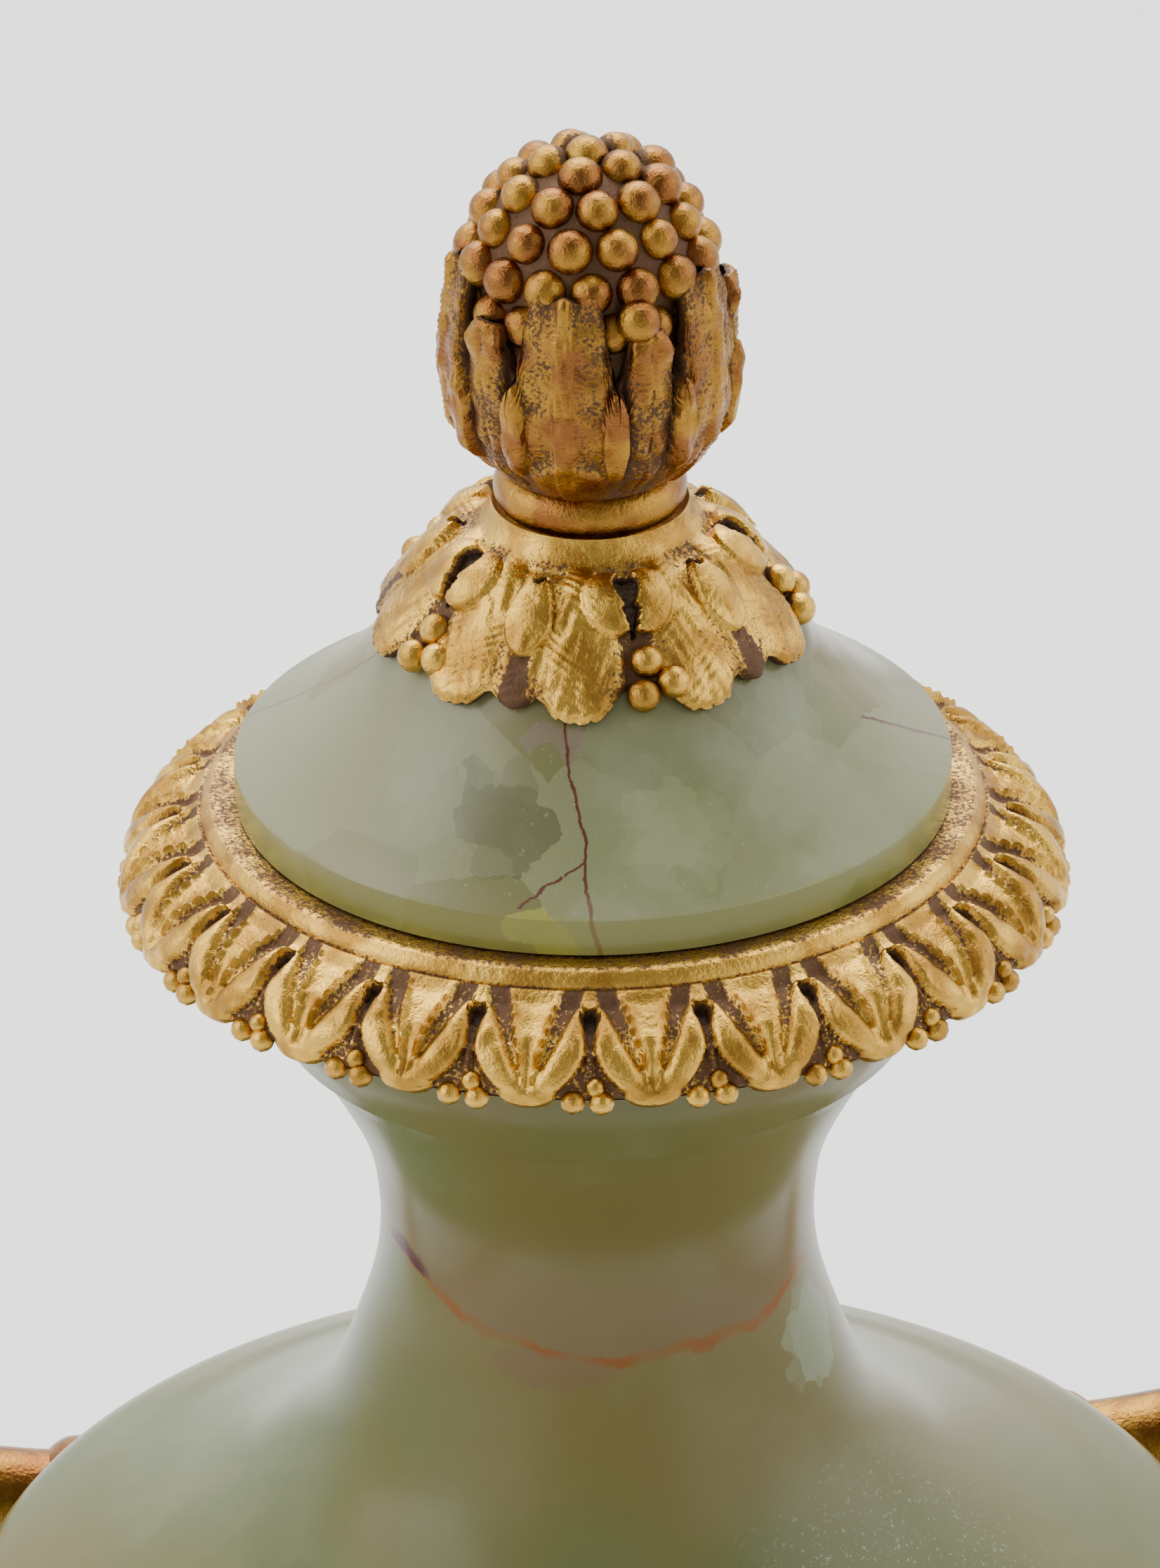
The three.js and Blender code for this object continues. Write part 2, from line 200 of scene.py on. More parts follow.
def spun(row_count, columns, place, closed=True):
    """Spins a line of row_count points into a blank, then sets each point with place(row, angle).

    place gives radius, height and recess. The recess holds how deep a point lies in a hollow, together with
    painted shade laid under and between the parts; it goes to the mesh, where the material turns it into patina,
    dust and near-black painted shade."""
    bm = bmesh.new()
    row_layer = bm.verts.layers.float.new("row")
    line = [bm.verts.new((1, 0, row)) for row in range(row_count)]
    for row, vert in enumerate(line):
        vert[row_layer] = row
    edges = [bm.edges.new(pair) for pair in zip(line, line[1:])]
    if closed:
        edges.append(bm.edges.new((line[-1], line[0])))
    bmesh.ops.spin(
        bm, geom=line + edges, cent=(0, 0, 0), axis=(0, 0, 1), angle=2 * pi, steps=columns, use_merge=True
    )
    rows = np.array([vert[row_layer] for vert in bm.verts])
    angles = np.array([np.arctan2(vert.co.y, vert.co.x) for vert in bm.verts])
    radius, height, recess_and_shade = place(np.rint(rows).astype(int), angles)
    x, y = radius * np.cos(angles), radius * np.sin(angles)
    recess_and_shade_layer = bm.verts.layers.float.new("recess_and_shade")
    for vert, *co, depth in zip(bm.verts, x.tolist(), y.tolist(), height.tolist(), recess_and_shade.tolist()):
        vert.co = co
        vert[recess_and_shade_layer] = depth
    bm.verts.layers.float.remove(row_layer)
    bmesh.ops.remove_doubles(bm, verts=bm.verts, dist=0.002)
    bmesh.ops.recalc_face_normals(bm, faces=bm.faces)
    return bm


STONE_COLUMNS = 160
MOUNT_COLUMNS = 128


def turned(rows, columns, closed=False):
    """A plain turned piece from rows of [radius, height]."""
    rows = np.array(rows, float)

    def place(row, angle):
        return rows[row, 0], rows[row, 1], np.zeros(len(row))

    return spun(len(rows), columns, place, closed)


def add_ball(bm, centre, radius, subdivisions=3):
    """Adds a berry to a mesh, deeper in shade the nearer it comes to the axis."""
    layer = bm.verts.layers.float["recess_and_shade"]
    made = bmesh.ops.create_icosphere(
        bm, subdivisions=subdivisions, radius=radius, matrix=Matrix.Translation(centre)
    )
    for vert in made["verts"]:
        inward = (hypot(centre[0], centre[1]) - hypot(vert.co.x, vert.co.y)) / radius
        vert[layer] = max(0, inward)


def polar(radius, angle, height):
    return Vector((radius * cos(angle), radius * sin(angle), height))


def hang_berries(bm, skin, sunk, turn, leaves, berry, places, subdivisions=3):
    """Hangs the same berries on each leaf, each at a place across and along it and a share of full size."""
    for leaf in range(leaves):
        middle = turn + 2 * pi * leaf / leaves
        for across, run, share in places:
            radius, height = skin.at(run, -sunk)
            centre = polar(radius, middle + across / radius, RIM + height)
            add_ball(bm, centre, share * berry / MM, subdivisions)


def finish_piece(name, bm, material, slot, *nodes, sharp=35):
    """Turns a mesh in millimetres into a piece of the urn that stands for these solids."""
    bmesh.ops.scale(bm, vec=(MM, MM, MM), verts=bm.verts)
    mesh = bpy.data.meshes.new(name)
    bm.to_mesh(mesh)
    bm.free()
    mesh.shade_smooth()
    mesh.set_sharp_from_angle(angle=radians(sharp))
    mesh.materials.append(material)
    piece = bpy.data.objects.new(name, mesh)
    bpy.context.scene.collection.objects.link(piece)
    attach(piece, "root")
    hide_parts(*nodes)
    return piece


# ---- Materials

# How these nodes are set where a call says nothing else.
USUAL_SETTINGS = {"MapRange": {"interpolation_type": "SMOOTHSTEP"}, "Mix": {"data_type": "RGBA"}}


def add_node(tree, kind, *values, inputs=None, out=None, **settings):
    """Adds a node with its settings and links, and gives back one of its outputs.

    Inputs are values or other nodes' outputs, in the order in which the node shows them or by name."""
    node = tree.nodes.new("ShaderNode" + kind)
    for name, value in {**USUAL_SETTINGS.get(kind, {}), **settings}.items():
        setattr(node, name, value)
    shown = [socket for socket in node.inputs if socket.enabled]
    named = [(node.inputs[name], value) for name, value in (inputs or {}).items()]
    for socket, value in [*zip(shown, values), *named]:
        if isinstance(value, bpy.types.NodeSocket):
            tree.links.new(value, socket)
        else:
            socket.default_value = (*value, 1) if socket.type == "RGBA" else value
    return node.outputs[out] if out else next(socket for socket in node.outputs if socket.enabled)


def new_material(name):
    material = bpy.data.materials.new(name)
    material.use_nodes = True
    tree = material.node_tree
    return material, tree, tree.nodes["Principled BSDF"]


def place_mm(tree, turn=0.0, drop=0.0):
    """Object coordinates in millimetres, turned about the axis and counted from a height."""
    inputs = {"Scale": (1 / MM,) * 3, "Rotation": (0, 0, turn), "Location": (0, 0, -drop)}
    return add_node(tree, "Mapping", add_node(tree, "TexCoord", out="Object"), inputs=inputs)


def spot(tree, place, middle, reach, edge=0.35, amount=1.0):
    """An amount inside an oval spot, and 0 outside it."""
    apart = add_node(tree, "VectorMath", place, middle, operation="SUBTRACT")
    share = add_node(tree, "VectorMath", apart, reach, operation="DIVIDE")
    length = add_node(tree, "VectorMath", share, operation="LENGTH")
    return add_node(tree, "MapRange", length, 1, 1 - edge, 0, amount)


def ragged(tree, place, grain, shift):
    """A place moved about by noise, so that what is drawn there has a ragged edge."""
    wander = add_node(tree, "TexNoise", place, 1 / grain, 4, 0.6, out="Color")
    centred = add_node(tree, "VectorMath", wander, (0.5, 0.5, 0.5), operation="SUBTRACT")
    return add_node(tree, "VectorMath", centred, (2 * shift,) * 3, place, operation="MULTIPLY_ADD")


def gilt_bronze(name, colours, gold, wear, dusty):
    """Fire-gilt bronze, cast and chased: rubbed bright on the high spots, with small dark pits, brown where the
    gilding is thin in the hollows, near-black painted shade deeper in, and grey dust in the deepest of them.
    The mesh's recess sets how far each goes, and it also holds painted shade laid under and between the parts."""
    if name in bpy.data.materials:
        return bpy.data.materials[name]
    material, tree, shader = new_material(name)
    add = partial(add_node, tree)
    place = place_mm(tree)
    recess_and_shade = add("Attribute", attribute_name="recess_and_shade", out="Fac")
    broad = add("TexNoise", place, 1 / 6, 3)
    # the real pits are 0.1 to 0.3 mm; they are drawn at 0.5 mm so that they show
    fine = add("TexNoise", place, 1 / 0.5, 4, 0.62)
    speck = add("Math", broad, 0.3, recess_and_shade, operation="MULTIPLY_ADD")
    speck = add("Math", fine, 0.9, speck, operation="MULTIPLY_ADD")
    pits = add("MapRange", fine, 0.64, 0.7)
    pits = add("Math", pits, add("MapRange", broad, 0.45, 0.6), operation="MULTIPLY")
    worn = add("Math", add("MapRange", speck, wear + 0.85, wear + 1.0), pits, operation="MAXIMUM")
    settled = add("MapRange", speck, wear + 1.5, wear + 2.5, 0, dusty)
    colour = add("Mix", add("MapRange", broad, 0.4, 0.62), gold, colours.gold_deep)
    colour = add("Mix", worn, colour, colours.patina)
    # near-black painted shade deep in the recess, under the grey dust
    colour = add("Mix", add("MapRange", speck, wear + 1.2, wear + 1.4), colour, colours.shade)
    colour = add("Mix", settled, colour, colours.dust)
    metal = add("Math", worn, -0.35, 1, operation="MULTIPLY_ADD")
    metal = add("Math", metal, settled, operation="SUBTRACT")
    rough = add("Math", worn, 0.3, add("MapRange", broad, 0.3, 0.7, 0.2, 0.34), operation="MULTIPLY_ADD")
    hammered = add("Math", add("TexNoise", place, 1 / 1.6, 3), 1.2, fine, operation="MULTIPLY_ADD")
    bump = add("Bump", inputs={"Height": hammered, "Strength": 0.5, "Distance": 0.3 * MM})
    tree.links.new(colour, shader.inputs["Base Color"])
    tree.links.new(metal, shader.inputs["Metallic"])
    tree.links.new(rough, shader.inputs["Roughness"])
    tree.links.new(bump, shader.inputs["Normal"])
    return material


def gilt(context):
    colours = context.scene.urn_colours
    return gilt_bronze("fire-gilt_bronze", colours, colours.gold, wear=0, dusty=0.9)


def coppery_gilt(context):
    colours = context.scene.urn_colours
    return gilt_bronze("coppery_gilt_bronze", colours, colours.copper, wear=-0.03, dusty=0.7)


# The stone's own marks are placed from the front, in millimetres from the plane of the mouth.
FRONT_TURN = radians(4)
VEIN_SLANT = (0.077, -0.3, 1)  # square to the vein that crosses the neck
VEIN_DROP = 55.6
VEIN_PURPLE = linear("#431A24")
MILKY_PATCH = linear("#7F8A6C")
GREY_GREEN = linear("#5A6847")
PALE_SPECK = linear("#9BA592")
AMBER_SHADOW = linear("#645C22")
CRACK_BROWN = linear("#54241A")
WALL_YELLOW = linear("#87843A")
STONE_DUST = linear("#919078")

# Where the lid's stone changes: middle, reach, how much and to what colour.
LID_PATCHES = (
    ((-11, -30, 15), (9, 14, 7), 0.6, "#3A3B1C"),
    ((-4, -24, 24), (5, 8, 4), 0.7, "#77655A"),
    ((-6, -45, 5.5), (6, 5, 4), 0.85, "#8C8A3C"),
    ((10, -34, 14), (8, 9, 8), 0.35, "#8F9668"),
    ((24, -18, 22), (9, 9, 9), 0.4, "#808A68"),
    ((15, -43, 4.5), (2, 3, 1.6), 0.5, "#8C5148"),
    ((39, -23, 4.5), (3, 4, 2), 0.5, "#7A6428"),
)

# Cracks in the lid: across x on the front, or across y on one side, from their upper end to their lower one.
LID_CRACKS = (
    ("x", -1, (-3.6, 27), (-2.8, 19.5), 0.26),
    ("x", -1, (-2.8, 19.5), (-1.0, 14), 0.3),
    ("x", -1, (-1.0, 14), (-1.2, 11), 0.3),
    ("x", -1, (-1.2, 11), (-0.4, 7.8), 0.34),
    ("x", -1, (-0.4, 7.8), (0.6, 3), 0.5),
    ("x", -1, (-1.2, 12.4), (-9.4, 8.6), 0.4),
    ("y", 1, (-6.7, 15.8), (3, 7.1), 0.5),
    ("y", -1, (-5.7, 25.4), (11.4, 7.1), 0.35),
)


def stone_ground(tree, place, colours):
    """Olive stone with broad cooler zones and milky clouds."""
    green = add_node(tree, "TexNoise", place, 1 / 60, 2)
    green = add_node(tree, "MapRange", green, 0.42, 0.62)
    cloud = add_node(tree, "TexNoise", ragged(tree, place, 14, 5), 1 / 34, 5, 0.55)
    cloud = add_node(tree, "MapRange", cloud, 0.5, 0.8, 0, 0.45)
    ground = add_node(tree, "Mix", green, colours.stone, colours.stone_green)
    return add_node(tree, "Mix", cloud, ground, colours.stone_pale)


def body_onyx(context):
    """Green onyx, turned and polished, so its sides mirror the room. One iron-brown vein crosses it at a
    slant, with rosy stone above it, a milky cloud beside it and pale specks low on the right."""
    colours = context.scene.urn_colours
    name = "polished_green_onyx"
    if name in bpy.data.materials:
        return bpy.data.materials[name]
    material, tree, shader = new_material(name)
    add = partial(add_node, tree)
    place = place_mm(tree, FRONT_TURN, RIM)
    loose = ragged(tree, ragged(tree, place, 14, 3), 2.2, 0.7)
    above = add("VectorMath", loose, VEIN_SLANT, operation="DOT_PRODUCT")
    above = add("Math", above, VEIN_DROP, operation="ADD")
    rosy = add("MapRange", above, 20, 1, 0, 0.55)
    rosy = add("Math", add("MapRange", above, 0, 0.6), rosy, operation="MULTIPLY")
    line = add("MapRange", add("Math", above, operation="ABSOLUTE"), 1.1, 0.3)
    patchy = add("MapRange", add("TexNoise", place, 1 / 6, 3), 0.35, 0.6, 0.3, 1)
    vein = add("Math", line, patchy, operation="MULTIPLY")
    upper_side = add("MapRange", above, -0.4, 0.2)
    purple = add("Math", spot(tree, loose, (-25.5, -14, -58), (5, 9, 4)), upper_side, operation="MULTIPLY")
    lens = spot(tree, loose, (-6, -29, -66), (10, 9, 3), amount=0.6)
    shard = add("TexVoronoi", ragged(tree, place, 3, 1), 1 / 2.5, out="Position")
    cloud = spot(tree, shard, (27, -12, -70), (6.5, 8, 8), amount=0.75)
    uneven = ragged(tree, place, 5, 4)
    low_right = spot(tree, uneven, (42, -34, -102), (34, 40, 26), 0.6, 0.5)
    specks = add("MapRange", add("TexNoise", place, 1 / 0.8, 2, 0.7), 0.6, 0.68, 0, 1.2)
    specks = add("Math", low_right, specks, operation="MULTIPLY")
    low_left = spot(tree, uneven, (-30, -26, -86), (9, 22, 26), 0.7, 0.55)
    colour = stone_ground(tree, place, colours)
    for amount, tint in (
        (rosy, colours.stone_rose),
        (vein, colours.stone_vein),
        (purple, VEIN_PURPLE),
        (lens, colours.stone_rose),
        (cloud, MILKY_PATCH),
        (low_right, GREY_GREEN),
        (specks, PALE_SPECK),
        (low_left, AMBER_SHADOW),
    ):
        colour = add("Mix", amount, colour, tint)
    tree.links.new(colour, shader.inputs["Base Color"])
    shader.inputs["Roughness"].default_value = 0.27
    shader.inputs["IOR"].default_value = 1.36
    return material


def lid_onyx(context):
    """Green onyx under a film of dust: milky angular shards, with a dark crack down the front."""
    colours = context.scene.urn_colours
    material, tree, shader = new_material("dusty_green_onyx")
    add = partial(add_node, tree)
    place = place_mm(tree, FRONT_TURN, RIM)
    shard = add("TexVoronoi", ragged(tree, place, 9, 2), 1 / 15, out="Position")
    milky = add("MapRange", add("TexNoise", shard, 1 / 16, 1), 0.45, 0.55, 0, 0.6)
    colour = add("Mix", milky, stone_ground(tree, place, colours), colours.stone_pale)
    chip = add("TexVoronoi", ragged(tree, place, 5, 2), 1 / 3.5, out="Position")
    for middle, reach, amount, tint in LID_PATCHES:
        colour = add("Mix", spot(tree, chip, middle, reach, 0.5, amount), colour, linear(tint))
    loose = ragged(tree, place, 2.4, 0.6)
    x, y, z = (add("SeparateXYZ", loose, out=axis) for axis in "XYZ")
    for axis, side, (start, start_z), (end, end_z), half_width in LID_CRACKS:
        across, toward = (x, y) if axis == "x" else (y, x)
        along = add("MapRange", z, start_z, end_z, start, end, interpolation_type="LINEAR")
        apart = add("Math", add("Math", across, along, operation="SUBTRACT"), operation="ABSOLUTE")
        crack = add("MapRange", apart, half_width, half_width * 0.4)
        for reached in (
            add("Math", z, start_z, operation="LESS_THAN"),
            add("Math", z, end_z, operation="GREATER_THAN"),
            add("Math", add("Math", toward, side, operation="MULTIPLY"), 0, operation="GREATER_THAN"),
        ):
            crack = add("Math", crack, reached, operation="MULTIPLY")
        colour = add("Mix", crack, colour, CRACK_BROWN)
    wall = add("MapRange", z, 8.2, 7.4)
    colour = add("Mix", add("Math", wall, 0.5, operation="MULTIPLY"), colour, WALL_YELLOW)
    # dust, thicker toward the left, and in specks, but none on the wall
    film = add("TexNoise", ragged(tree, place, 12, 4), 1 / 26, 4, 0.6)
    left = add("MapRange", x, 4, -40, 0, 0.4)
    film = add("Math", add("MapRange", film, 0.48, 0.68, 0, 0.34), left, operation="ADD")
    specks = add("MapRange", add("TexNoise", place, 1 / 0.7, 2, 0.7), 0.66, 0.72, 0, 0.5)
    film = add("Math", film, specks, operation="MAXIMUM")
    film = add("Math", film, add("Math", 1, wall, operation="SUBTRACT"), operation="MULTIPLY")
    tree.links.new(add("Mix", film, colour, STONE_DUST), shader.inputs["Base Color"])
    tree.links.new(add("MapRange", film, 0, 0.6, 0.22, 0.42), shader.inputs["Roughness"])
    shader.inputs["IOR"].default_value = 1.42
    return material


# ---- The stone

BELLY_RADIUS = 84.8
BELLY_DROP = -129
BELLY_DEPTH = 107
BELLY_POWER = 1.15
FOOT_TURN = radians(78)
WALL = 9.5
NECK_AND_SHOULDER = [
    (84.8, -129), (84.2, -122.5), (81, -116.6), (73, -112.3), (64.7, -108.8), (52.2, -101.8),
    (43.9, -95.2), (36, -86), (31, -74), (28.3, -64), (28, -54), (30.2, -44), (37.4, -30.2),
]
LIP = [(40.8, -27.5), (44, -20), (44.5, -2.5), (36, -2.5)]
INSIDE = [(36, -2.5), (34, -16), (21, -45), (20.5, -64), (27, -85), (50, -109), (75.3, -129)]


def lower_curve(turn, skin):
    """A point on the body's lower curve, moved out by a skin."""
    radius = BELLY_RADIUS * np.cos(turn) ** BELLY_POWER
    height = BELLY_DROP - BELLY_DEPTH * np.sin(turn)
    return radius + skin * np.cos(turn), height - skin * np.sin(turn)


def from_rim(rows):
    return [(radius, RIM + height) for radius, height in rows]


def body_rows():
    outside = [lower_curve(turn, 0) for turn in np.linspace(FOOT_TURN, 0, 40)]
    neck = list(smooth_run(NECK_AND_SHOULDER, 90))
    inside = list(smooth_run(INSIDE, 30))
    lower_inside = [lower_curve(turn, -WALL) for turn in np.linspace(0, FOOT_TURN, 24)]
    rows = [(0, outside[0][1])] + outside + neck[1:] + LIP + inside[1:] + lower_inside[1:]
    return from_rim(rows + [(0, lower_inside[-1][1])])


class URN_OT_body(bpy.types.Operator):
    """Turn the onyx body, hollow from its mouth to its foot"""

    bl_idname = "urn.body"
    bl_label = "Body"

    def execute(self, context):
        body = turned(body_rows(), STONE_COLUMNS)
        finish_piece("body_stone", body, body_onyx(context), "green_onyx", "urn_body")
        return {"FINISHED"}


LID_CONE = [
    (45.1, 7.8), (41.3, 10.2), (37.8, 12.8), (34.3, 15.8), (31.1, 18.8), (28.4, 22.2), (26.2, 25.7),
    (20.8, 31.6), (11.8, 38.1),
]
SPIGOT = 35.5


class URN_OT_lid(bpy.types.Operator):
    """Turn the onyx lid, with its spigot, low wall and hollow-sided cone"""

    bl_idname = "urn.lid"
    bl_label = "Lid"

    def execute(self, context):
        cone = list(smooth_run(LID_CONE, 60))
        rows = [(0, -1.6), (SPIGOT, -1.6), (SPIGOT, 3.1), (45.1, 3.1)] + cone + [(0, 38.1)]
        stone = turned(from_rim(rows), STONE_COLUMNS)
        finish_piece("lid_stone", stone, lid_onyx(context), "green_onyx", "lid")
        return {"FINISHED"}


# ---- The mouth mount

RIM_SKIN = Skin(
    [
        (49.9, 0.8), (52.6, 0.1), (55.2, -1.1), (57.3, -2.9), (58.8, -5.1), (59.8, -7.5), (60.2, -10),
        (59.7, -12.2),
    ]
)
RIM_TURN = radians(-94.8)
RIM_REPEAT = 15  # degrees over which the motif is drawn
RIM_REPEAT_WIDTH = 15.7  # at the leaves' tips
RIM_TOP = [
    (49.9, 0.8), (49.5, 0.7), (49.4, 1.3), (49.1, 1.9), (48.6, 2.5), (48.1, 2.8), (47.5, 2.8), (36.5, 2.8),
    (36.5, -2.2), (46, -2.2),
]


def rim_relief(place, run, radius):
    """The eye-and-leaf carving: its rise, and how deep in shade it lies."""
    half = radius * radians(RIM_REPEAT / 2)
    x = np.abs(place) * 2 * half
    u = half - x  # from the middle of the dart
    eye = between(
        run, (2.3, 0), (2.6, 0.6), (3.2, 0.95), (3.9, 1), (4.8, 0.85), (5.8, 0.6), (9.2, 0.6), (10.8, 1.2),
        (12.6, 2.4), (14.5, 4.3), (16.5, 4.8),
    )
    dart = between(run, (0, 2.7), (5.8, 1.7), (9.4, 0.9), (13.5, 0.4), (15, 0))
    in_eye = smoothstep(0.22, -0.22, x - eye) * smoothstep(2.2, 2.6, run)
    eye_floor = between(run, (0, -2.3), (5, -2.3), (6.5, -1.7), (11, -1.6), (13, -1.5))
    stem = 0.8 * hump(x, 0.4) * smoothstep(8.4, 9.4, run) * smoothstep(13, 12, run)
    # the rounded lobe beside the eye, and the rough hollow between it and the dart
    across = np.clip((x - eye) / np.maximum(half - eye - dart, 0.5), 0, 1)
    share = between(run, (0, 0.18), (3.5, 0.3), (6, 0.5), (9, 0.62), (13, 0.8), (15, 1))
    lobe = np.sqrt(np.clip(1 - ((across - share * 0.5) / (share * 0.62)) ** 2, 0, 1))
    lobe_rise = between(run, (1, -0.7), (4, -0.35), (8, 0), (12, 0.15), (16, -0.1))
    hollow = between(run, (0, -1.5), (5, -1.45), (10, -1.1), (13.5, -0.6), (15, -0.2))
    leaf = hollow + (lobe_rise - hollow) * lobe
    edge = hump(u - dart - 0.25, 0.32) * smoothstep(15, 13, run)
    leaf = leaf + (between(run, (0, -0.3), (8, 0.05), (14, -0.1)) - leaf) * edge
    in_dart = smoothstep(0.2, -0.2, u - dart)
    dart_floor = -0.75 - 0.25 * (1 - u / np.maximum(dart, 0.3))
    rise = leaf + (dart_floor - leaf) * in_dart * smoothstep(15.2, 13, run)
    tip = smoothstep(13.4, 15.4, run) * (1 - smoothstep(3.6, 4.6, u))
    rise = rise + (-0.1 - 0.03 * u**2 - rise) * tip
    rise = rise + (eye_floor + stem - rise) * in_eye
    rise = rise + 0.16 * chased(x, run, 5) * smoothstep(2, 5, run)
    rough = (1 - lobe) * (1 - in_dart) * (1 - edge) * (1 - tip)
    # painted shade: darker in the rough hollows the deeper they lie, and darkest in the eyes' holes
    recess_and_shade = rough * between(run, (1, 0.5), (5, 0.4), (9, 0.3), (13, 0.2), (15, 0.05))
    recess_and_shade = np.maximum(recess_and_shade, in_eye * between(run, (0, 0.95), (5.5, 0.85), (8, 0.45), (14, 0.42)))
    return rise, recess_and_shade


def rim_edge(place):
    """How far the leaves hang below the groove at a place in the repeat."""
    u = np.abs(0.5 - np.abs(place)) * RIM_REPEAT_WIDTH
    return np.maximum(17.2 - 0.105 * u**2, 16.3)


class URN_OT_rim(bpy.types.Operator):
    """Carve the mouth mount, with its eyes, darts, hanging leaves and berries"""

    bl_idname = "urn.rim"
    bl_label = "Mouth mount"

    def execute(self, context):
        sizes = context.scene.urn_sizes
        shares = np.linspace(0, 1, 64)
        under = [(1.0, -0.9), (0.985, -1.9), (0.93, -2.4), (0.7, -2.6), (0.3, -2.8)]
        top = np.array(RIM_TOP)
        first_top = len(under) + len(shares)
        skin_rows = np.array(under[::-1] + [(share, 0) for share in shares[::-1]])

        def place(row, angle):
            position = repeat_place(angle, sizes.rim_leaves, RIM_TURN)
            in_under, in_top = row < len(under), row >= first_top
            share, sunk = skin_rows[np.clip(row, 0, first_top - 1)].T
            run = share * rim_edge(position)
            rise, shade = rim_relief(position, run, RIM_SKIN.at(run)[0])
            round_over = 0.8 * smoothstep(0.93, 1, share)
            rise = np.where(in_under, sunk + 0.3 * rise, rise * smoothstep(-0.4, 2.2, run)) - round_over
            radius, height = RIM_SKIN.at(run, rise)
            # painted shade on the leaves' underside
            recess_and_shade = np.where(in_under, 0.6, shade)
            plain = top[np.clip(row - first_top, 0, len(top) - 1)]
            radius, height = np.where(in_top, plain[:, 0], radius), np.where(in_top, plain[:, 1], height)
            dusty_ledge = np.where(plain[:, 0] < 48.2, 0.32, np.where(plain[:, 0] < 49.45, 0.12, 0.35))
            return radius, RIM + height, np.where(in_top, dusty_ledge, recess_and_shade)

        bm = spun(first_top + len(top), sizes.rim_leaves * 36, place)
        places = ((0.6, 13.8, 0.8), (-2.1, 16.1, 0.97), (1.4, 16.2, 1))
        hang_berries(bm, RIM_SKIN, 1.5, RIM_TURN, sizes.rim_leaves, sizes.rim_berry, places, subdivisions=2)
        finish_piece("rim_bronze", bm, gilt(context), "gilt_bronze", "rim_mount", sharp=60)
        return {"FINISHED"}


# ---- The leaf collar

COLLAR_SKIN = Skin([(14, 40.5), (16.8, 39.6), (19.75, 37.2), (22.75, 33.8), (25.75, 30.4), (28.25, 26.5)])
COLLAR_TURN = radians(-80)
COLLAR_TOP = [(13.4, 41.1), (12.6, 42.1), (12.3, 43.5), (11, 41.8), (0, 41.8)]
COLLAR_SEAT = 38.7
COLLAR_REPEAT = 72  # degrees over which the motif is drawn


def oval(x, run, centre, middle, half_width, half_length):
    """How far a point is inside an oval: 1 at its middle, 0 on its edge."""
    return 1 - np.hypot((x - centre) / half_width, (run - middle) / half_length)


def collar_relief(place, run, radius):
    """The split leaf with its eye, the broad lobes beside it and the long leaf between."""
    half = radius * radians(COLLAR_REPEAT / 2)
    x = np.abs(place) * 2 * half
    u = half - x
    turn = np.abs(place) * COLLAR_REPEAT  # degrees from the middle of the split leaf
    grain = 0.07 * np.sin(run * 3.1 + 5 * np.sin(0.9 * x + 0.31 * run)) + 0.05 * np.sin(2.3 * x - 1.7 * run)
    ground = -0.6 - 0.9 * smoothstep(5, 14, run)
    # the broad lobe
    lobe_half = between(run, (0, 1.9), (4, 3.2), (9, 4.9), (14, 6), (18, 6.1), (21, 5.3))
    lobe_at = np.abs(turn - 18.5) * pi / 180 * radius / lobe_half
    lobe = smoothstep(1.12, 0.92, lobe_at)
    groove = 0.25 * hump(turn - 18.5, 1.6) * smoothstep(11, 19, run)
    lobe_rise = 0.05 - 0.75 * np.clip(lobe_at, 0, 1) ** 2 + grain - groove
    rise = ground + (lobe_rise - ground) * lobe
    # the long leaf between two lobes, and the brown leaf under it
    under_leaf = smoothstep(0, 0.12, oval(u, run, 0, 14.5, 3.2, 5.6))
    rise = np.maximum(rise, ground + (-0.35 + grain - ground) * under_leaf)
    long_in = oval(u, run, 0, 7.6, between(run, (3, 2.2), (9, 3.3), (13, 3)), 5.6)
    long_leaf = smoothstep(0, 0.08, long_in)
    long_rise = 0.35 + 0.75 * np.sqrt(np.clip(long_in, 0, 1)) + 0.6 * grain
    rise = rise + (long_rise - rise) * long_leaf
    # the split leaf, in front of all the rest
    split_in = oval(x, run, 2.1, 5.6, 3.7, 4.4)
    split = smoothstep(0, 0.08, split_in)
    split_rise = 0.25 + 1.1 * np.sqrt(np.clip(split_in, 0, 1)) + 0.3 * grain
    rise = rise + (split_rise - rise) * split
    eye = between(
        run, (1.2, 0), (1.8, 0.6), (2.2, 1), (3, 1.55), (4, 1.5), (5, 1.1), (6.2, 0.5), (6.6, 1.1),
        (7.2, 0.8), (8.5, 0.5), (9.8, 0.15), (10.4, 0),
    )
    hole = smoothstep(0.18, -0.18, x - eye) * smoothstep(1.2, 1.6, run) * smoothstep(10.4, 9.9, run)
    drop = smoothstep(0, 0.3, oval(u, run, 0, 2.7, 0.8, 1.1))
    rise = rise - 1.7 * hole - 1.2 * drop
    # painted shade: darker where the relief lies low, on the leaf under the long leaf, in the gaps between the
    # leaves, and in the eye's hole and the drop
    shade = np.clip(0.15 - 0.26 * rise, 0, 0.7)
    shade = np.maximum(shade, 0.28 * under_leaf * (1 - long_leaf) * smoothstep(12, 15, run))
    shade = np.maximum(shade, 0.5 * (1 - lobe) * (1 - split) * (1 - long_leaf) * smoothstep(9, 11, run))
    return rise * smoothstep(0, 1.2, run), np.maximum(shade, np.maximum(1.2 * hole, drop))


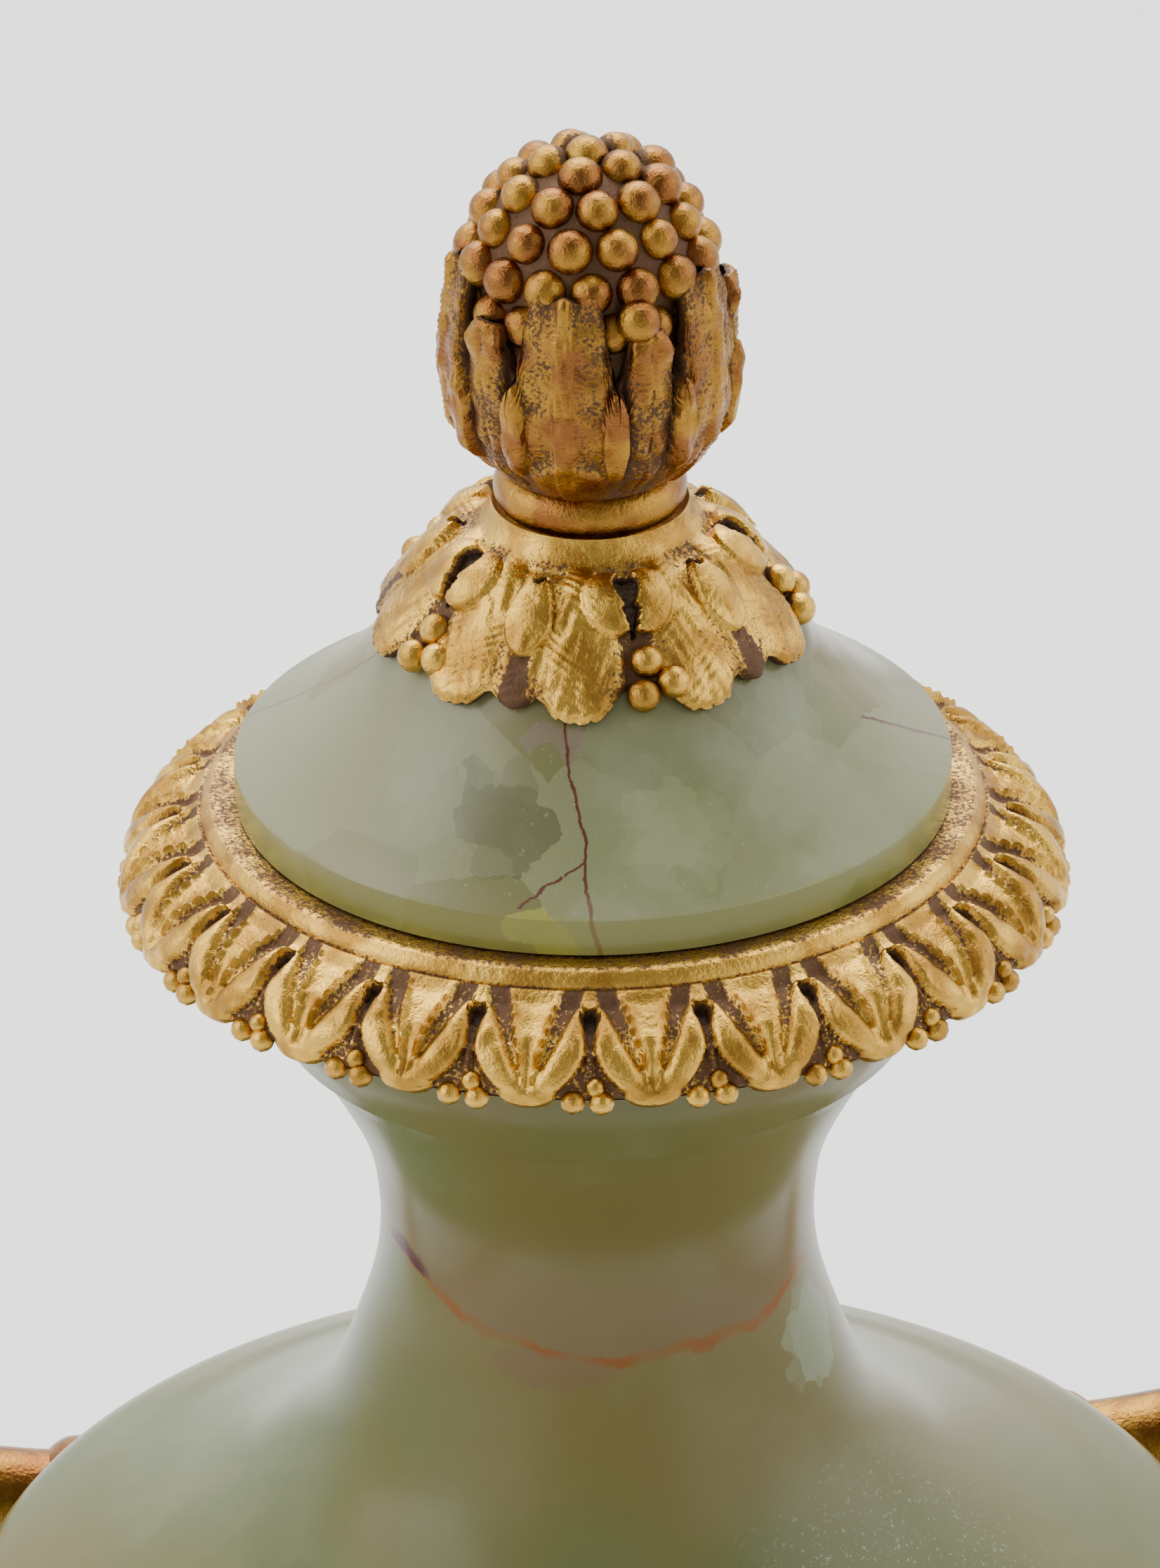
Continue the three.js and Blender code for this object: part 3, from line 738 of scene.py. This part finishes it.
def collar_edge(place):
    """How far the leaves hang below the neck, with small notches in the lobes."""
    turn = np.abs(place) * COLLAR_REPEAT
    hang = between(
        turn, (0, 16.2), (6, 16.8), (9, 18.8), (12.5, 20.4), (18, 20.9), (24, 20.2), (27.5, 18.2),
        (29.5, 17.8), (32, 19), (36, 19.6),
    )
    return hang - 0.35 * hump(turn - 18.5, 0.8) - 0.3 * hump(turn - 14.5, 0.6) - 0.3 * hump(turn - 22.5, 0.6)


class URN_OT_collar(bpy.types.Operator):
    """Carve the leaf collar over the lid"""

    bl_idname = "urn.collar"
    bl_label = "Leaf collar"

    def execute(self, context):
        sizes = context.scene.urn_sizes
        shares = np.linspace(0, 1, 84)
        under = [(0.02, -1.7), (0.5, -1.9), (0.93, -1.9), (0.985, -1.6), (1.0, -0.8)]
        skin_rows = np.array(under + [(share, 0) for share in shares[::-1]])
        top = np.array(COLLAR_TOP)
        first_top = len(skin_rows) + 1

        def place(row, angle):
            position = repeat_place(angle, sizes.collar_leaves, COLLAR_TURN)
            in_under, in_top = row <= len(under), row >= first_top
            share, sunk = skin_rows[np.clip(row - 1, 0, len(skin_rows) - 1)].T
            run = share * collar_edge(position)
            rise, shade = collar_relief(position, run, COLLAR_SKIN.at(run)[0])
            rise = np.where(in_under, sunk + 0.4 * np.minimum(rise, 0), rise)
            rise = rise - 0.5 * smoothstep(0.95, 1, share)
            radius, height = COLLAR_SKIN.at(run, rise)
            # painted shade on the leaves' underside
            shade = np.where(in_under, 0.6, shade)
            plain = top[np.clip(row - first_top, 0, len(top) - 1)]
            radius, height = np.where(in_top, plain[:, 0], radius), np.where(in_top, plain[:, 1], height)
            radius, height = np.where(row == 0, 0, radius), np.where(row == 0, COLLAR_SEAT, height)
            return radius, RIM + height, np.where(in_top, 0.1, shade)

        bm = spun(first_top + len(top), sizes.collar_leaves * 96, place, closed=False)
        places = ((1.1, 13.2, 1), (0, 17.6, 1), (4, 16.4, 1.02))
        hang_berries(bm, COLLAR_SKIN, 0.9, COLLAR_TURN, sizes.collar_leaves, sizes.collar_berry, places)
        finish_piece("collar_bronze", bm, gilt(context), "gilt_bronze", "lid_leaf_collar", sharp=60)
        return {"FINISHED"}


# ---- The finial

RING_RADIUS = 8.9
RING_BAR = 3.2
RING_CENTRE = 45.4
BUD_SKIN = Skin(
    [(11, 48.3), (13.4, 50.2), (16.5, 54.2), (18, 59), (18.3, 65.3), (17.9, 70.5), (17.2, 75.6), (16.9, 79)],
    upward=True,
)
BUD_TURN = radians(-104.5)
BUD_BEHIND = [(10.5, 48.3), (12.6, 51), (14.8, 56), (15.6, 63), (15.2, 69)]  # the bud behind its leaves
BUD_FOOT = 50
BETWEEN_BERRIES = 0.5  # how deep in shade the bud's skin lies
BUD_RADIUS = 14
BUD_HALF = 15.3
BUD_CENTRE = 74.4
BUD_SUNK = 0.3  # the berries' middles lie this far under the bud's skin
BERRY_STEP = radians(19.5)
BERRY_ROWS = 6
LOW_BERRY = (16.2, radians(32.5), 74.5)  # one berry hangs between two leaves
BUD_REPEAT = 72  # degrees over which the motif is drawn


def bud_relief(turn, height):
    """The ribbed tall leaf, the small leaf on its edge and the short curled leaf between two."""
    x = turn * pi / 180 * 18  # mm from the tall leaf's rib
    rib = smoothstep(1.1, 0.4, x - between(height, (50, 0.9), (60, 0.5), (78, 0.1))) * 0.4
    fan = 1 - np.cos(2 * pi * turn / 12)
    tall = -0.25 * fan * smoothstep(72, 77, height) + rib - 0.0012 * turn**2
    tall_edge = between(height, (48, 30), (54, 25), (60, 21.5), (66, 20.5), (73, 19.5), (78, 17.5))
    in_tall = smoothstep(1.2, -1.2, turn - tall_edge)
    files = 0.09 * np.sin(7.5 * height + 4 * np.sin(0.8 * x)) * smoothstep(50, 53, height)
    ground = between(height, (48, -0.5), (54, -1.2), (66, -1.6), (78, -2))
    u = 36 - turn
    short_edge = between(height, (48, 8), (56, 9.5), (66, 10.5), (71, 9.5), (73.5, 7))
    in_short = smoothstep(1, -1, u - short_edge)
    curl = between(height, (60, 0), (67, 0.5), (71, 1.4), (73, 1.1))
    short = -0.4 - 0.006 * u**2 + curl - 0.25 * hump(u, 0.7)
    rise = ground + (short + files - ground) * in_short
    rise = rise + (tall + files - rise) * in_tall
    small_in = 1 - np.hypot((turn - 21) / 5.5, (height - 59.5) / 7.2)
    small = smoothstep(0, 0.12, small_in)
    rise = rise + (0.35 + 0.75 * np.sqrt(np.clip(small_in, 0, 1)) - rise) * small
    hole = smoothstep(0, 0.4, 1 - np.hypot((turn - 22) / 2.6, (height - 68.4) / 2.2))
    rise = rise - 1.6 * hole + 0.3 * chased(x, height, 5.5) * smoothstep(49, 53, height)
    # painted shade: darker where the relief lies low, in the gaps between the leaves and in the hole behind the
    # small leaf's tip
    shade = np.clip(0.2 - 0.22 * rise, 0, 0.7)
    gap = 0.5 * (1 - in_tall) * (1 - in_short) * (1 - small)
    return rise, np.maximum(shade, np.maximum(0.95 * hole, gap))


def bud_edge(turn):
    """The height of the leaves' tips, scalloped on the tall leaf."""
    tall = 78.3 - 0.45 * (1 - np.cos(2 * pi * turn / 12)) - 8 * smoothstep(13.5, 20, turn) ** 2
    short = 73.4 - 6 * smoothstep(5, 12, 36 - turn) ** 2
    return np.maximum(np.where(turn < 21.5, tall, 67), np.where(turn > 24, short, 67))


def add_solid(bm, other):
    """Moves another mesh's shape into this one."""
    mesh = bpy.data.meshes.new("joined")
    other.to_mesh(mesh)
    other.free()
    bm.from_mesh(mesh)
    bpy.data.meshes.remove(mesh)


class URN_OT_finial(bpy.types.Operator):
    """Carve the finial: a ring, a bud of berries and its cup of leaves"""

    bl_idname = "urn.finial"
    bl_label = "Finial"

    def execute(self, context):
        sizes = context.scene.urn_sizes
        heights = BUD_SKIN.points[:, 1]
        under = [(1.0, -0.9), (0.97, -1.7), (0.8, -2.4), (0.3, -3)]
        skin_rows = np.array([(0, 0)] + [(share, 0) for share in np.linspace(0, 1, 80)] + under + under[-1:])
        last = len(skin_rows) - 1

        def place(row, angle):
            turn = np.abs(repeat_place(angle, sizes.bud_leaves, BUD_TURN)) * BUD_REPEAT
            in_under = row >= last - len(under)
            share, sunk = skin_rows[row].T
            run = share * np.interp(bud_edge(turn), heights, BUD_SKIN.run)
            rise, shade = bud_relief(turn, BUD_SKIN.at(run)[1])
            rise = np.where(in_under, sunk + np.minimum(rise, 0.8), rise * smoothstep(0, 1.5, run))
            radius, height = BUD_SKIN.at(run, rise - 0.4 * smoothstep(0.97, 1, share))
            radius = np.where((row == 0) | (row == last), 0, radius)
            height = np.where(row == last, BUD_CENTRE, height)
            # painted shade on the leaves' underside
            return radius, RIM + height, np.where(in_under, 0.85, shade)

        bm = spun(len(skin_rows), sizes.bud_leaves * 96, place, closed=False)
        ring = [
            (RING_RADIUS + RING_BAR * cos(radians(a)), RING_CENTRE + RING_BAR * sin(radians(a)))
            for a in range(-80, 81, 10)
        ]
        core = [
            ((BUD_RADIUS + BUD_SUNK) * sin(p), BUD_CENTRE + (BUD_HALF + BUD_SUNK) * cos(p))
            for p in np.linspace(1.7, 0.05, 24)
        ]
        rows = [(0, ring[0][1])] + ring + BUD_BEHIND + core + [(0, core[-1][1])]
        core_bm = turned(from_rim(rows), 96)
        layer = core_bm.verts.layers.float["recess_and_shade"]
        for vert in core_bm.verts:
            vert[layer] = BETWEEN_BERRIES if vert.co.z > RIM + BUD_FOOT else 0
        add_solid(bm, core_bm)
        berry = sizes.bud_berry / MM
        for row in range(BERRY_ROWS):
            around = BUD_RADIUS * sin(row * BERRY_STEP)
            count = max(1, round(pi * around / berry))
            for i in range(count):
                angle = BUD_TURN + 2 * pi * (i + (0 if row % 2 else 0.5)) / count
                centre = polar(around, angle, RIM + BUD_CENTRE + BUD_HALF * cos(row * BERRY_STEP))
                swell = 1 + 0.08 * sin(7 * i + 3 * row)
                add_ball(bm, centre, berry * swell)
        add_ball(bm, polar(LOW_BERRY[0], BUD_TURN + LOW_BERRY[1], RIM + LOW_BERRY[2]), berry)
        finish_piece("finial_bronze", bm, coppery_gilt(context), "gilt_bronze", "finial", sharp=60)
        return {"FINISHED"}


# ---- The handles

ARM = [(58, 54, -131), (72, 54, -130.4), (88, 51.5, -126.5), (103, 42, -119.5), (113, 24, -112)]
LOOP_MIDDLE = (116.1, 0, -109)
HANDLE_BAR = 6.3
HANDLE_BOSS = 8
ROOT = (67, 54, -130.5)


class URN_OT_handles(bpy.types.Operator):
    """Bend the two loop handles from round bar"""

    bl_idname = "urn.handles"
    bl_label = "Handles"

    def execute(self, context):
        far = [(x, -y, z) for x, y, z in ARM]
        line = smooth_run(ARM + [LOOP_MIDDLE] + far[::-1], 80)
        for name, side in (("handle_right", 1), ("handle_left", -1)):
            points = [Vector((side * x, y, RIM + z)) for x, y, z in line]
            bm = bmesh.new()
            bm.verts.layers.float.new("recess_and_shade")
            ring = bmesh.ops.create_circle(bm, cap_ends=True, segments=32, radius=HANDLE_BAR)["verts"]
            edges = bm.edges[:]
            # the ring is drawn along the line, and turned at each step to face the way ahead
            turn = (points[1] - points[0]).to_track_quat("Z", "Y").to_matrix()
            bmesh.ops.transform(bm, matrix=Matrix.Translation(points[0]) @ turn.to_4x4(), verts=ring)
            for i in range(1, len(points)):
                made = bmesh.ops.extrude_edge_only(bm, edges=edges)["geom"]
                ring = [g for g in made if isinstance(g, bmesh.types.BMVert)]
                edges = [g for g in made if isinstance(g, bmesh.types.BMEdge)]
                ahead = points[min(i + 1, len(points) - 1)] - points[i - 1]
                bend = ahead.to_track_quat("Z", "Y").to_matrix() @ turn.inverted()
                move = Matrix.Translation(points[i]) @ bend.to_4x4() @ Matrix.Translation(-points[i - 1])
                bmesh.ops.transform(bm, matrix=move, verts=ring)
                turn = ahead.to_track_quat("Z", "Y").to_matrix()
            bmesh.ops.contextual_create(bm, geom=edges)
            for away in (-1, 1):
                at = Matrix.Translation((side * ROOT[0], away * ROOT[1], RIM + ROOT[2]))
                at = at @ Matrix.Diagonal((0.75, 1, 1, 1))
                bmesh.ops.create_uvsphere(bm, u_segments=32, v_segments=16, radius=HANDLE_BOSS, matrix=at)
            bmesh.ops.recalc_face_normals(bm, faces=bm.faces)
            finish_piece(name + "_bronze", bm, coppery_gilt(context), "gilt_bronze", name)
        return {"FINISHED"}


# ---- Under the body

CUP_TOP_TURN = radians(48)
CUP_PARTING = radians(12)
CUP_SKIN = 2.8
CUP_RIB = 0.9
LEAF_GAP = 0.6
CUP_BOTTOM = 15
KNOP = [(14, 0), (17, 0.8), (19.4, 3), (20.5, 6.9), (19.4, 10.8), (17, 12.9), (14, 13.7)]
FOOT_SIDE = [(41.5, 50), (37, 54.5), (27, 59.5), (19.5, 67), (15.5, 77), (14.5, 85.7)]
FOOT_RING = [(46.5, 0), (47.6, 1), (48, 2.5), (47.6, 4.2), (46.5, 5.3), (43.6, 6), (43, 6.6), (42.6, 8.4)]
ARRIS = 0.35  # how far the edges of the plinth and its base are eased
BASE_MOULDING = [(0, 0), (0, 3.6), (0.7, 4.9), (2.2, 5.6), (3.6, 6.1), (4.6, 7), (5.2, 9)]


def cup_relief(place, share):
    """A rib up each leaf, with veins that slant from it to a turned edge."""
    q = np.abs(place) * 2
    veins = 0.28 * np.cos(2 * pi * (5.5 * share - 1.6 * q))
    veins = veins * smoothstep(0.12, 0.3, q) * smoothstep(0.98, 0.8, q)
    rib = 0.55 * hump(q, 0.09) + 0.25 * hump(q - 0.86, 0.07)
    parted = -0.9 * smoothstep(0.93, 1, q)
    rise = rib + veins + parted
    # the second value is painted shade, darker where the relief lies low
    return rise * smoothstep(0, 0.15, share) * smoothstep(1, 0.93, share), np.clip(0.22 - 0.5 * rise, 0, 0.8)


class URN_OT_lower_mounts(bpy.types.Operator):
    """Cast the leaf cup, the knop and the ring under the foot"""

    bl_idname = "urn.lower_mounts"
    bl_label = "Lower mounts"

    def execute(self, context):
        leaves = context.scene.urn_sizes.cup_leaves
        shares = np.linspace(0, 1, 60)
        skin_rows = np.array([(share, 1) for share in shares] + [(share, 0) for share in shares[::-3]])
        last = len(skin_rows) + 2

        def place(row, angle):
            position = repeat_place(angle, leaves, 0)
            fold = 1 - np.cos(pi * np.abs(position))
            share, outer = skin_rows[np.clip(row - 2, 0, len(skin_rows) - 1)].T
            rise, shade = cup_relief(position, share)
            top = CUP_TOP_TURN + CUP_PARTING * fold
            turn = FOOT_TURN - 0.05 * outer + (top - FOOT_TURN + 0.05 * outer) * share
            leaf = CUP_SKIN - CUP_RIB * fold * smoothstep(0, 0.2, share) + rise
            skin = LEAF_GAP + outer * (leaf - LEAF_GAP)
            radius, height = lower_curve(turn, skin)
            closing = row < 2
            radius = np.where(closing, CUP_BOTTOM, radius)
            radius = np.where((row == 0) | (row == last), 0, radius)
            height = np.where(row == last, lower_curve(FOOT_TURN, LEAF_GAP)[1], height)
            height = np.where(closing, CUP_FOOT - RIM, height)
            # painted shade on the leaves' inner side, toward the body
            return radius, RIM + height, np.where(outer > 0, shade, 0.7)

        material = gilt(context)
        bm = spun(last + 1, leaves * 48, place, closed=False)
        finish_piece("cup_bronze", bm, material, "gilt_bronze", "leaf_cup", sharp=60)
        for name, node, rows, foot in (
            ("knop_bronze", "stem_knop", smooth_run(KNOP, 40), KNOP_FOOT),
            ("foot_ring_bronze", "foot_ring", FOOT_RING, FOOT_RING_FOOT),
        ):
            side = [(radius, foot + height) for radius, height in rows]
            bm = turned([(0, side[0][1])] + side + [(0, side[-1][1])], MOUNT_COLUMNS)
            finish_piece(name, bm, material, "gilt_bronze", node)
        return {"FINISHED"}


def squared(half, foot, moulding):
    """A square block with a stepped side: how far each step goes in, and its height."""
    side = [((half - inward) * 2**0.5, foot + height) for inward, height in moulding]
    bm = turned([(0, foot)] + side + [(0, side[-1][1])], 4)
    bmesh.ops.rotate(bm, verts=bm.verts, cent=(0, 0, 0), matrix=Matrix.Rotation(pi / 4, 3, "Z"))
    bmesh.ops.dissolve_limit(bm, angle_limit=radians(1), verts=bm.verts, edges=bm.edges)
    bmesh.ops.bevel(
        bm, geom=bm.edges, offset=ARRIS, offset_type="OFFSET", affect="EDGES", segments=2, profile=0.5, material=-1
    )
    return bm


class URN_OT_plinth(bpy.types.Operator):
    """Turn the foot and cut the plinth from onyx, over a gilt moulding"""

    bl_idname = "urn.plinth"
    bl_label = "Foot and plinth"

    def execute(self, context):
        stone = body_onyx(context)
        side = [(41, FOOT_FOOT)] + list(smooth_run(FOOT_SIDE, 60))
        bm = turned([(0, FOOT_FOOT)] + side + [(0, FOOT_TOP)], MOUNT_COLUMNS)
        finish_piece("foot_stone", bm, stone, "green_onyx", "foot")
        block = squared(PLINTH_HIGH.x, PLINTH_LOW.z, [(0, 0), (0, PLINTH_HIGH.z - PLINTH_LOW.z)])
        finish_piece("plinth_stone", block, stone, "green_onyx", "plinth")
        base = squared(BASE_HIGH.x, BASE_LOW.z, BASE_MOULDING)
        finish_piece("base_bronze", base, gilt(context), "gilt_bronze", "plinth_base")
        return {"FINISHED"}


# ---- The studio

CAMERA_DISTANCE = 1.4
CAMERA_RISE = radians(27.7)
CAMERA_TURN = radians(4)
CAMERA_LENS = 255
CAMERA_ROLL = radians(0.6)
AIM_LEFT = 1.68 * MM
AIM_UP = 2.74 * MM
WALLS = 1.6
CEILING = 0.35
FLOOR_SIZE = 6
MIDDLE = (0, 0, 0.34)

# Each light's size and power, where it hangs, what it faces, and whether the polish mirrors it. The front
# one is too soft to leave its shape on the stone.
LIGHTS = (
    ("key", 1.6, 20, (-1.6, -0.2, 1.5), MIDDLE, True),
    ("fill", 1.6, 9, (1.8, 0, 1.2), MIDDLE, True),
    ("backdrop", 1.2, 30, (0, 0.8, 1.25), (0, 0.7, 0), True),
    ("front", 1.6, 9, (0.1, -1.6, 1.9), MIDDLE, False),
)


def add_light(scene, name, size, power, place, aim, mirrored):
    light = bpy.data.lights.new(name, "AREA")
    light.size = size
    light.energy = power
    lamp = bpy.data.objects.new(name, light)
    lamp.location = place
    lamp.rotation_euler = (Vector(aim) - Vector(place)).to_track_quat("-Z", "Y").to_euler()
    lamp.visible_glossy = mirrored
    scene.collection.objects.link(lamp)


def add_floor(scene):
    bm = bmesh.new()
    bmesh.ops.create_grid(bm, x_segments=1, y_segments=1, size=FLOOR_SIZE)
    mesh = bpy.data.meshes.new("floor")
    bm.to_mesh(mesh)
    bm.free()
    floor = bpy.data.objects.new("floor", mesh)
    scene.collection.objects.link(floor)
    # matt paper: even and pale, with no shine
    material, _, shader = new_material("matt_white_paper")
    shader.inputs["Base Color"].default_value = (*linear("#F4F4F2"), 1)
    shader.inputs["Roughness"].default_value = 0.9
    mesh.materials.append(material)


def set_world(scene):
    """Bright walls at the sides and the back of the room, and a dim ceiling."""
    world = bpy.data.worlds.new("studio")
    scene.world = world
    world.use_nodes = True
    tree = world.node_tree
    add = partial(add_node, tree)
    direction = add("TexCoord", out="Generated")
    x, y, z = (add("SeparateXYZ", direction, out=axis) for axis in "XYZ")
    around = add("Math", add("Math", x, operation="ABSOLUTE"), y, operation="MAXIMUM")
    bright = add("MapRange", around, 0.3, 0.75)
    bright = add("Math", bright, add("MapRange", z, 0.9, 0.35), operation="MULTIPLY")
    strength = add("Math", bright, WALLS - CEILING, CEILING, operation="MULTIPLY_ADD")
    tree.links.new(strength, tree.nodes["Background"].inputs["Strength"])
    tree.nodes["Background"].inputs["Color"].default_value = (1, 1, 1, 1)


def set_camera(scene):
    away = cos(CAMERA_RISE)
    toward = Vector((-sin(CAMERA_TURN) * away, -cos(CAMERA_TURN) * away, sin(CAMERA_RISE)))
    turn = toward.to_track_quat("Z", "Y").to_matrix() @ Matrix.Rotation(-CAMERA_ROLL, 3, "Z")
    aim = Vector((0, 0, RIM * MM)) + turn @ Vector((-AIM_LEFT, AIM_UP, 0))
    camera = bpy.data.objects.new("camera", bpy.data.cameras.new("camera"))
    camera.data.lens = CAMERA_LENS
    camera.matrix_world = Matrix.Translation(aim + toward * CAMERA_DISTANCE) @ turn.to_4x4()
    scene.collection.objects.link(camera)
    scene.camera = camera


class URN_OT_stage(bpy.types.Operator):
    """Set the pale floor, the soft light and the camera"""

    bl_idname = "urn.stage"
    bl_label = "Studio"

    def execute(self, context):
        add_floor(context.scene)
        set_world(context.scene)
        for light in LIGHTS:
            add_light(context.scene, *light)
        set_camera(context.scene)
        return {"FINISHED"}


class URN_PT_sidebar(bpy.types.Panel):
    """The urn's pieces, sizes and colours"""

    bl_idname = "URN_PT_sidebar"
    bl_label = "Mantel urn"
    bl_space_type = "VIEW_3D"
    bl_region_type = "UI"
    bl_category = "Urn"

    def draw(self, context):
        for operator in OPERATORS:
            self.layout.operator(operator.bl_idname)
        for group in (context.scene.urn_sizes, context.scene.urn_colours):
            for name in group.__annotations__:
                self.layout.prop(group, name)


OPERATORS = (
    URN_OT_body, URN_OT_lid, URN_OT_rim, URN_OT_collar, URN_OT_finial, URN_OT_handles,
    URN_OT_lower_mounts, URN_OT_plinth, URN_OT_stage,
)
CLASSES = (UrnSizes, UrnColours, *OPERATORS, URN_PT_sidebar)


def register():
    for cls in CLASSES:
        bpy.utils.register_class(cls)
    bpy.types.Scene.urn_sizes = bpy.props.PointerProperty(type=UrnSizes)
    bpy.types.Scene.urn_colours = bpy.props.PointerProperty(type=UrnColours)


def unregister():
    del bpy.types.Scene.urn_colours
    del bpy.types.Scene.urn_sizes
    for cls in reversed(CLASSES):
        bpy.utils.unregister_class(cls)


def main():
    register()
    for operator in OPERATORS:
        group, name = operator.bl_idname.split(".")
        getattr(getattr(bpy.ops, group), name)()


if __name__ == "__main__":
    main()
